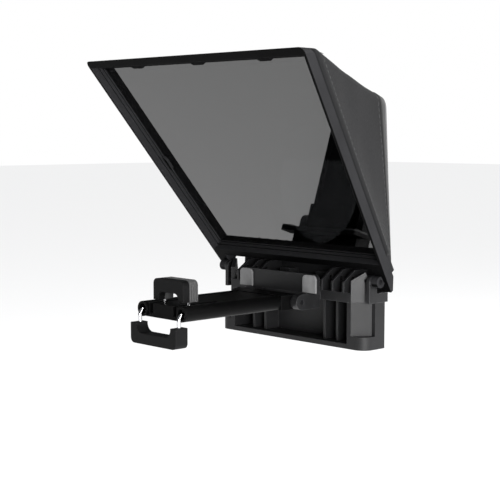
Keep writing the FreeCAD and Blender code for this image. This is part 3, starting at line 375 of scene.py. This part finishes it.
def cloth(name, tone, pitch=0.55):
    """Close plain weave, with the threads' direction taken from the cloth's own layout."""
    m = Nodes(name)
    m.plain(Specular_IOR_Level=0.08, Sheen_Weight=0.035, Sheen_Roughness=0.45)
    layout = m.add("ShaderNodeUVMap", uv_map="cut")
    parts = m.add("ShaderNodeSeparateXYZ")
    m.link(layout.outputs["UV"], parts.inputs[0])
    turn = math.pi / (pitch * MM)
    across = m.math("SINE", m.math("MULTIPLY", parts.outputs[0], turn), 0.0)
    along = m.math("SINE", m.math("MULTIPLY", parts.outputs[1], turn), 0.0)
    weave = m.math("MULTIPLY", across, along)
    slub = m.noise(700.0, 3.0)
    height = m.math("ADD", weave, m.ranged(slub, -0.35, 0.35))
    cloud = m.noise(26.0, 4.0)
    base = m.mixed(m.ranged(cloud, 0.0, 1.0), grey(tone * 0.90), grey(tone * 1.08))
    # Painted highlight: the weave's raised crowns are painted lighter than the threads between them.
    crown_highlight = m.ranged(weave, 0.0, 0.35, -1.0, 1.0)
    m.link(m.mixed(crown_highlight, base, grey(tone * 1.35)), m.shader.inputs["Base Color"])
    m.link(m.ranged(slub, 0.74, 0.88), m.shader.inputs["Roughness"])
    m.link(m.bumped(height, 0.35, 0.05 * MM), m.shader.inputs["Normal"])
    return m.material


def coated_glass(name):
    """Beam splitter: part mirror, and dark to look through from the front."""
    m = Nodes(name)
    m.plain(Base_Color=(0.010, 0.0105, 0.011, 1.0), Transmission_Weight=1.0, IOR=1.88)
    haze = m.noise(55.0, 5.0)
    specks = m.noise(900.0, 2.0)
    m.link(m.ranged(haze, 0.0, 0.018), m.shader.inputs["Roughness"])
    m.link(m.bumped(specks, 0.02, 0.002 * MM), m.shader.inputs["Normal"])
    return m.material


FINISH = {
    "shell": moulded("shell_black", 0.0095, 0.50, specular=0.30),
    "deck": moulded("deck_black", 0.011, 0.42, specular=0.30, lift=7.0),
    "plate": moulded("plate_black", 0.011, 0.50, grain=2400.0, depth=0.02),
    # The frame's faces that look out of the glass are painted near-black: painted shade.
    "frame": moulded("frame_black", 0.021, 0.52, grain=1900.0, depth=0.02, specular=0.03, lift=1.1,
                     front=0.0015),
    "hook": moulded("hook_black", 0.0035, 0.56, specular=0.14),
    "tube": moulded("tube_black", 0.0015, 0.50, grain=2600.0, depth=0.01, specular=0.07),
    "bush": moulded("bush_plastic", 0.020, 0.45),
    "grip": rubber("grip_rubber", 0.16),
    "jaw_grip": rubber("hook_rubber", 0.052),
    "ring": turned_black("ring_black", 0.015, 0.36),
    "chrome": metal("bright_wire", (0.86, 0.86, 0.88), 0.07, stretch=(1.0, 0.05, 1.0)),
    "pin": metal("pin_steel", (0.52, 0.52, 0.53), 0.28, stretch=(0.05, 1.0, 1.0)),
    "dark_pin": metal("pin_blackened", (0.030, 0.030, 0.032), 0.42, stretch=(0.05, 1.0, 1.0)),
    "screw": metal("screw_steel", (0.09, 0.09, 0.10), 0.34),
    "glass": coated_glass("coated_glass"),
    "cloth": cloth("hood_cloth", 0.0095),
    "thread": rubber("hood_thread", 0.035, 0.8),
    "tape": rubber("hood_binding", 0.011, 0.8),
}

FINISH_OF = {
    "shell": ["base_lower_housing"],
    "deck": ["base_ramp_deck", "rear_jaw"],
    "plate": ["rear_plate", "lens_ring_retainer"],
    "frame": [
        "frame_surround", "frame_back_ring", "glass_clips", "glass_catch_left", "glass_catch_right",
    ],
    "hook": ["phone_hook", "tablet_jaw"],
    "tube": ["tray_tube_left", "tray_tube_right", "tray_tongue", "tongue_cover"],
    "bush": ["tube_bush_left", "tube_bush_right", "rod_stop_left", "rod_stop_right",
             "frame_hinge_washer_left", "frame_hinge_washer_right"],
    "grip": ["rear_jaw_pad_left", "rear_jaw_pad_right"],
    "jaw_grip": ["phone_hook_pad", "tablet_jaw_pad"],
    "ring": ["lens_ring"],
    "chrome": ["phone_clamp_wire", "tablet_rod_left", "tablet_rod_right"],
    "pin": ["clamp_spring"],
    "dark_pin": ["tray_hinge_pin", "frame_hinge_pin_left", "frame_hinge_pin_right"],
    "screw": ["retainer_screws", "plate_screws", "housing_screws"],
    "glass": ["beam_splitter_glass"],
}


def dress_nodes():
    """Gives every CAD node its finish."""
    for finish, names in FINISH_OF.items():
        for name in names:
            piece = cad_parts[name]
            piece.data.materials.clear()
            piece.data.materials.append(FINISH[finish])


# ---- hood -------------------------------------------------------------------------------

# Sizes in millimetres. Heights on the frame run up its slope from the hinge, and depths run back.
FRAME_TOP = 152.3
FRAME_FRONT = 2.0
FRAME_BACK = 11.0
FRAME_LOW_HALF = 68.6
FRAME_SIDE_SLOPE = 0.1405
FRAME_CORNER = 3.0
SIDE_PLAY = 0.2
TOP_PLAY = 0.1
HOOD_LOW = 12.0
HEM_DEPTH = 7.9
PLATE_EDGE = -3.2
PLATE_CORNER = 7.5
CLOTH = 0.8

# Points along each side, round each corner and along the top, and rows from frame to plate.
SIDE_POINTS, CORNER_POINTS, TOP_POINTS = 44, 10, 52
BACK_STEPS = 34

# How far the cloth sinks between its edges: a share of its depth, up to a most, and a ripple.
SAG_SHARE, SAG_MOST, RIPPLE = 0.012, 1.4, 0.5

# Stitches, and how many rows in from each edge of the cloth they run.
STITCH_LONG, STITCH_GAP, STITCH_HALF, STITCH_HIGH = 2.3, 1.1, 0.19, 0.16
FIRST_STITCH = 2.0
STITCH_ROW = 4

# The hood's middle, towards which it sags, and the height that its outer side faces away from.
HOOD_CENTRE = Vector((0.0, -30.0, 10.0))
CORE_HEIGHT = 5.0


def half_width(up):
    """Half the cloth's width on the frame at a height."""
    return FRAME_LOW_HALF + FRAME_SIDE_SLOPE * up - SIDE_PLAY


def frame_loop(depth):
    """Outside corners of the cloth on the frame, from low left round to low right, its top level."""
    top = FRAME_TOP - (depth - FRAME_FRONT) / math.tan(SLOPE) - TOP_PLAY
    low_x, high_x = half_width(HOOD_LOW), half_width(top)
    points = [(-low_x, HOOD_LOW), (-high_x, top), (high_x, top), (low_x, HOOD_LOW)]
    return [HINGE + UP * y - OUT * depth + Vector((x, 0.0, 0.0)) for x, y in points]


def plate_loop():
    """Outside corners of the cloth on the plate, in the same order."""
    low, high, side_low, side_high = -44.0, 50.2 + CLOTH, 58.7 + CLOTH, 53.6 + CLOTH
    return [
        Vector((-side_low, PLATE_EDGE, low)), Vector((-side_high, PLATE_EDGE, high)),
        Vector((side_high, PLATE_EDGE, high)), Vector((side_low, PLATE_EDGE, low)),
    ]


def rounded_loop(corners, radius):
    """The open loop through four corners, as points, with its two inner corners rounded."""
    points = []
    a, b, c, d = corners

    def cut(corner, before, after):
        to_before, to_after = (before - corner).normalized(), (after - corner).normalized()
        return corner + to_before * radius, corner + to_after * radius

    b_in, b_out = cut(b, a, c)
    c_in, c_out = cut(c, b, d)
    for start, end, middle, count in (
        (a, b_in, None, SIDE_POINTS),
        (b_in, b_out, b, CORNER_POINTS),
        (b_out, c_in, None, TOP_POINTS),
        (c_in, c_out, c, CORNER_POINTS),
        (c_out, d, None, SIDE_POINTS),
    ):
        for i in range(count):
            t = i / count
            if middle is None:
                points.append(start.lerp(end, t))
            else:
                points.append(start.lerp(middle, t).lerp(middle.lerp(end, t), t))
    points.append(d.copy())
    return points


def hood_points():
    """Rows of points from the frame's hem back to the plate, for the cloth's middle surface."""
    hem = rounded_loop(frame_loop(HEM_DEPTH), FRAME_CORNER)
    start = rounded_loop(frame_loop(FRAME_BACK), FRAME_CORNER)
    end = rounded_loop(plate_loop(), PLATE_CORNER)
    rows = [hem, [a.lerp(b, 0.5) for a, b in zip(hem, start)]]
    on_frame = len(rows)
    for k in range(BACK_STEPS + 1):
        t = k / BACK_STEPS
        row = []
        for a, b in zip(start, end):
            p = a.lerp(b, t)
            inward = HOOD_CENTRE - p
            inward.y = 0.0
            inward.normalize()
            sag = math.sin(math.pi * t) ** 1.2 * min(SAG_MOST, (b - a).length * SAG_SHARE)
            place = Vector((p.y * 0.045, p.z * 0.03, p.x * 0.03))
            ripple = noise.noise(place) * RIPPLE * math.sin(math.pi * t)
            row.append(p + inward * (CLOTH * 0.5 + sag + ripple))
        rows.append(row)
    shift = [q - p for p, q in zip(start, rows[on_frame])]
    for k in range(on_frame):
        rows[k] = [p + d for p, d in zip(rows[k], shift)]
    return rows


def hang(piece):
    """Hides the CAD hood solid that a piece of the hood stands for, and bakes the piece's placing into
    its points.
    """
    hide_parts("hood_fabric")
    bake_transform(piece)


def running_length(points):
    """Length from the first point to each point."""
    run = [0.0]
    for p, q in zip(points, points[1:]):
        run.append(run[-1] + (q - p).length)
    return run


def outward(along, side, point):
    """The way out of the cloth at a point, square to two directions that lie in it."""
    out = along.cross(side).normalized()
    if out.dot(point - Vector((0.0, point.y, CORE_HEIGHT))) < 0.0:
        out = -out
    return out


def make_hood():
    """The cloth as one sheet, laid out flat in its UV map so that the weave follows the threads."""
    rows = hood_points()
    across = len(rows[0])
    run = running_length(rows[len(rows) // 2])
    depth = running_length([row[across // 2] for row in rows])
    mesh = new_mesh("hood_cloth", [p * MM for row in rows for p in row], quad_grid(len(rows), across))
    layout = mesh.uv_layers.new(name="cut")
    for loop in mesh.loops:
        k, i = divmod(loop.vertex_index, across)
        layout.data[loop.index].uv = (run[i] * MM, depth[k] * MM)
    surface(mesh, "cloth")
    hood = added("hood_cloth", mesh)
    thicken(hood, CLOTH * 0.8 * MM)
    hang(hood)
    extras = [hem_stitches(rows), hem_tape(rows)]


def stitch_points(place, along, side, out):
    """A low ridge of four by four points, narrow and sunk at both ends."""
    for t, width, lift in ((0.0, 0.5, 0.0), (0.2, 1.0, 1.0), (0.8, 1.0, 1.0), (1.0, 0.5, 0.0)):
        spot = place + along * (t * STITCH_LONG)
        for offset, rise in ((-width, -0.4), (-width * 0.6, lift), (width * 0.6, lift), (width, -0.4)):
            yield (spot + side * offset * STITCH_HALF + out * rise * STITCH_HIGH) * MM


def hem_stitches(rows):
    """Two runs of thread, one behind the frame and one before the plate."""
    verts, faces = [], []
    for k in (STITCH_ROW, len(rows) - 1 - STITCH_ROW):
        row, away = rows[k], rows[k - 1]
        travelled, next_start = 0.0, FIRST_STITCH
        for i in range(len(row) - 1):
            step = row[i + 1] - row[i]
            along = step.normalized()
            side = (away[i] - row[i]).normalized()
            out = outward(along, side, row[i])
            while next_start < travelled + step.length:
                place = row[i] + along * (next_start - travelled) + out * CLOTH * 0.4
                faces += quad_grid(4, 4, base=len(verts))
                verts += stitch_points(place, along, side, out)
                next_start += STITCH_LONG + STITCH_GAP
            travelled += step.length
    mesh = new_mesh("hood_stitches", verts, faces)
    surface(mesh, "thread")
    thread = added("hood_stitches", mesh)
    hang(thread)
    return thread


def hem_tape(rows):
    """Folded binding that finishes the cloth's edge in front of the plate."""
    chosen = rows[-4:]
    across = len(rows[0])
    verts = []
    for row in chosen:
        for i, p in enumerate(row):
            along = (row[min(i + 1, across - 1)] - row[max(i - 1, 0)]).normalized()
            side = (chosen[0][i] - chosen[-1][i]).normalized()
            verts.append((p + outward(along, side, p) * CLOTH * 0.55) * MM)
    mesh = new_mesh("hood_binding", verts, quad_grid(len(chosen), across))
    surface(mesh, "tape")
    tape = added("hood_binding", mesh)
    thicken(tape, 0.3 * MM)
    hang(tape)
    return tape


# ---- spring -----------------------------------------------------------------------------


def make_spring():
    """Open coil between the clamp wire's cross-bar and the chamber's end."""
    low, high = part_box("clamp_spring")
    centre_x, centre_z = (low.x + high.x) / 2, (low.z + high.z) / 2
    wire, turns, steps = 0.19 * MM, 17, 22
    radius = (high.x - low.x) / 2 - wire
    curve = bpy.data.curves.new("spring_path", "CURVE")
    curve.dimensions = "3D"
    curve.bevel_depth = wire
    curve.bevel_resolution = 3
    line = curve.splines.new("POLY")
    count = turns * steps
    line.points.add(count)
    start, end = low.y + wire, high.y - wire
    for i in range(count + 1):
        angle = 2 * math.pi * i / steps
        x, z = centre_x + radius * math.cos(angle), centre_z + radius * math.sin(angle)
        line.points[i].co = (x, start + (end - start) * (i / count), z, 1.0)
    holder = bpy.data.objects.new("spring_path", curve)
    mesh = bpy.data.meshes.new_from_object(holder)
    bpy.data.curves.remove(curve)
    mesh.materials.clear()
    surface(mesh, "pin")
    spring = added("clamp_coil", mesh)
    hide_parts("clamp_spring")
    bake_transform(spring)


# ---- lens ring --------------------------------------------------------------------------

# Radii and lengths in millimetres. The crest is the thread's outside radius.
BORE, FLANGE, SLEEVE, CREST = 36.0, 43.5, 41.5, 38.5
FLANGE_THICK, THREAD_LONG, PITCH, THREAD_DEEP = 1.6, 4.0, 0.75, 0.42
FADE_IN, FADE_OUT = 0.5, 0.3
EDGE = 0.18


def thread_radius(along, turn):
    """The thread's radius at a distance along it and a share of a turn, fading at both ends."""
    phase = (along / PITCH - turn) % 1.0
    ridge = 1.0 - abs(2.0 * phase - 1.0)
    flat_topped = min(1.0, ridge * 1.25)
    ends = min(1.0, along / FADE_IN, (THREAD_LONG - along) / FADE_OUT)
    return CREST - THREAD_DEEP + THREAD_DEEP * flat_topped * max(0.0, ends)


def make_ring():
    """The lens ring turned from one piece, with its male filter thread cut as a real helix."""
    low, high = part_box("lens_ring")
    centre_x, centre_z = (low.x + high.x) / 2, (low.z + high.z) / 2
    front, rear = low.y / MM, high.y / MM
    foot = rear - THREAD_LONG
    step = front + FLANGE_THICK
    before = [
        (front, BORE + EDGE), (front, FLANGE - EDGE), (front + EDGE, FLANGE), (step - EDGE, FLANGE),
        (step, FLANGE - EDGE), (step, SLEEVE), (foot - EDGE, SLEEVE), (foot, SLEEVE - EDGE),
    ]
    after = [(rear, BORE + EDGE), (rear - EDGE, BORE), (front + EDGE, BORE)]
    samples, steps = 48, 240
    count = len(before) + samples + 1 + len(after)
    verts, faces = [], []
    for i in range(steps):
        turn = i / steps
        profile = list(before)
        for k in range(samples + 1):
            along = THREAD_LONG * k / samples
            profile.append((foot + along, thread_radius(along, turn)))
        profile += after
        cos, sin = math.cos(2 * math.pi * turn), math.sin(2 * math.pi * turn)
        for y, radius in profile:
            verts.append((centre_x + radius * cos * MM, y * MM, centre_z + radius * sin * MM))
    for i in range(steps):
        j = (i + 1) % steps
        for k in range(count):
            n = (k + 1) % count
            faces.append((i * count + k, j * count + k, j * count + n, i * count + n))
    mesh = new_mesh("lens_ring_turned", verts, faces)
    face_outwards(mesh)
    surface(mesh, "ring", sharp_degrees=38.0)
    ring = added("lens_ring_turned", mesh)
    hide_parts("lens_ring")
    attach(ring, "lens_ring_body")


# ---- screws -----------------------------------------------------------------------------


def separate_shapes(node):
    """The points of each separate solid of a CAD node, as it stands."""
    shape = bmesh.new()
    shape.from_mesh(node.data)
    bmesh.ops.remove_doubles(shape, verts=shape.verts, dist=WELD)
    shape.verts.index_update()
    shape.verts.ensure_lookup_table()
    left, parts = set(range(len(shape.verts))), []
    while left:
        found, queue = [], [min(left)]
        left.discard(queue[0])
        while queue:
            index = queue.pop()
            found.append(node.matrix_world @ shape.verts[index].co)
            for edge in shape.verts[index].link_edges:
                other = edge.other_vert(shape.verts[index]).index
                if other in left:
                    left.discard(other)
                    queue.append(other)
        parts.append(found)
    shape.free()
    return parts


def hexagon(apothem, angle):
    """A hexagon's radius at an angle, from half its width across the flats."""
    turn = (angle + math.pi / 6) % (math.pi / 3) - math.pi / 6
    return apothem / math.cos(turn)


def screw_rings(points, axis):
    """Rings of one socket-head screw from the CAD screw's own length and widths."""
    others = [i for i in range(3) if i != axis]
    middle = [(max(p[i] for p in points) + min(p[i] for p in points)) / 2 for i in range(3)]
    low, high = min(p[axis] for p in points), max(p[axis] for p in points)

    def width(p):
        return math.hypot(p[others[0]] - middle[others[0]], p[others[1]] - middle[others[1]])

    head = max(width(p) for p in points)
    at_top = max(width(p) for p in points if high - p[axis] < 0.05 * MM)
    top, down = (high, -1.0) if at_top > 0.9 * head else (low, 1.0)
    shank = max(width(p) for p in points if abs(p[axis] - top) > 0.95 * (high - low))
    thick = max(abs(p[axis] - top) for p in points if width(p) > 0.95 * head)
    edge, socket = 0.22 * MM, 0.52 * head
    levels = [
        (0.6 * thick, lambda a: 0.0), (0.6 * thick, lambda a: hexagon(socket, a)),
        (0.0, lambda a: hexagon(socket, a)), (0.0, lambda a: head - edge), (edge, lambda a: head),
        (thick, lambda a: head), (thick, lambda a: shank), (high - low, lambda a: shank),
        (high - low, lambda a: 0.0),
    ]
    steps, rings = 36, []
    for depth, radius in levels:
        ring = []
        for i in range(steps):
            angle = 2 * math.pi * i / steps
            spot = list(middle)
            spot[axis] = top + down * depth
            spot[others[0]] += radius(angle) * math.cos(angle)
            spot[others[1]] += radius(angle) * math.sin(angle)
            ring.append(tuple(spot))
        rings.append(ring)
    return rings


def make_screws(node_name, axis):
    """Socket-head screws in place of a CAD node's plain ones, which lie along an axis."""
    verts, faces = [], []
    for points in separate_shapes(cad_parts[node_name]):
        rings = screw_rings(points, axis)
        faces += quad_grid(len(rings), len(rings[0]), base=len(verts), closed=True)
        for ring in rings:
            verts += ring
    mesh = new_mesh(node_name + "_cut", verts, faces)
    face_outwards(mesh, weld=WELD)
    surface(mesh, "screw", sharp_degrees=32.0)
    screws = added(node_name + "_cut", mesh)
    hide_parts(node_name)
    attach(screws, "base")


# ---- the scene --------------------------------------------------------------------------

Y_AXIS, Z_AXIS = 1, 2

make_camera()
make_world()
make_floor()
overhead(2.9, 35.0)
softbox("key_right", (1.15, -0.25, 0.25), (0.0, -0.04, 0.0), (0.7, 0.9), 8.0)
softbox("by_camera", (1.06, -0.74, 0.02), (0.05, -0.02, -0.06), (0.38, 0.42), 14.0)
softbox("rim_back", (0.5, 0.9, 0.5), (0.0, 0.0, 0.0), (0.8, 0.5), 8.0)
bpy.context.scene.view_settings.view_transform = "Standard"
dress_nodes()
make_hood()
make_spring()
make_ring()
make_screws("retainer_screws", Y_AXIS)
make_screws("plate_screws", Y_AXIS)
make_screws("housing_screws", Z_AXIS)
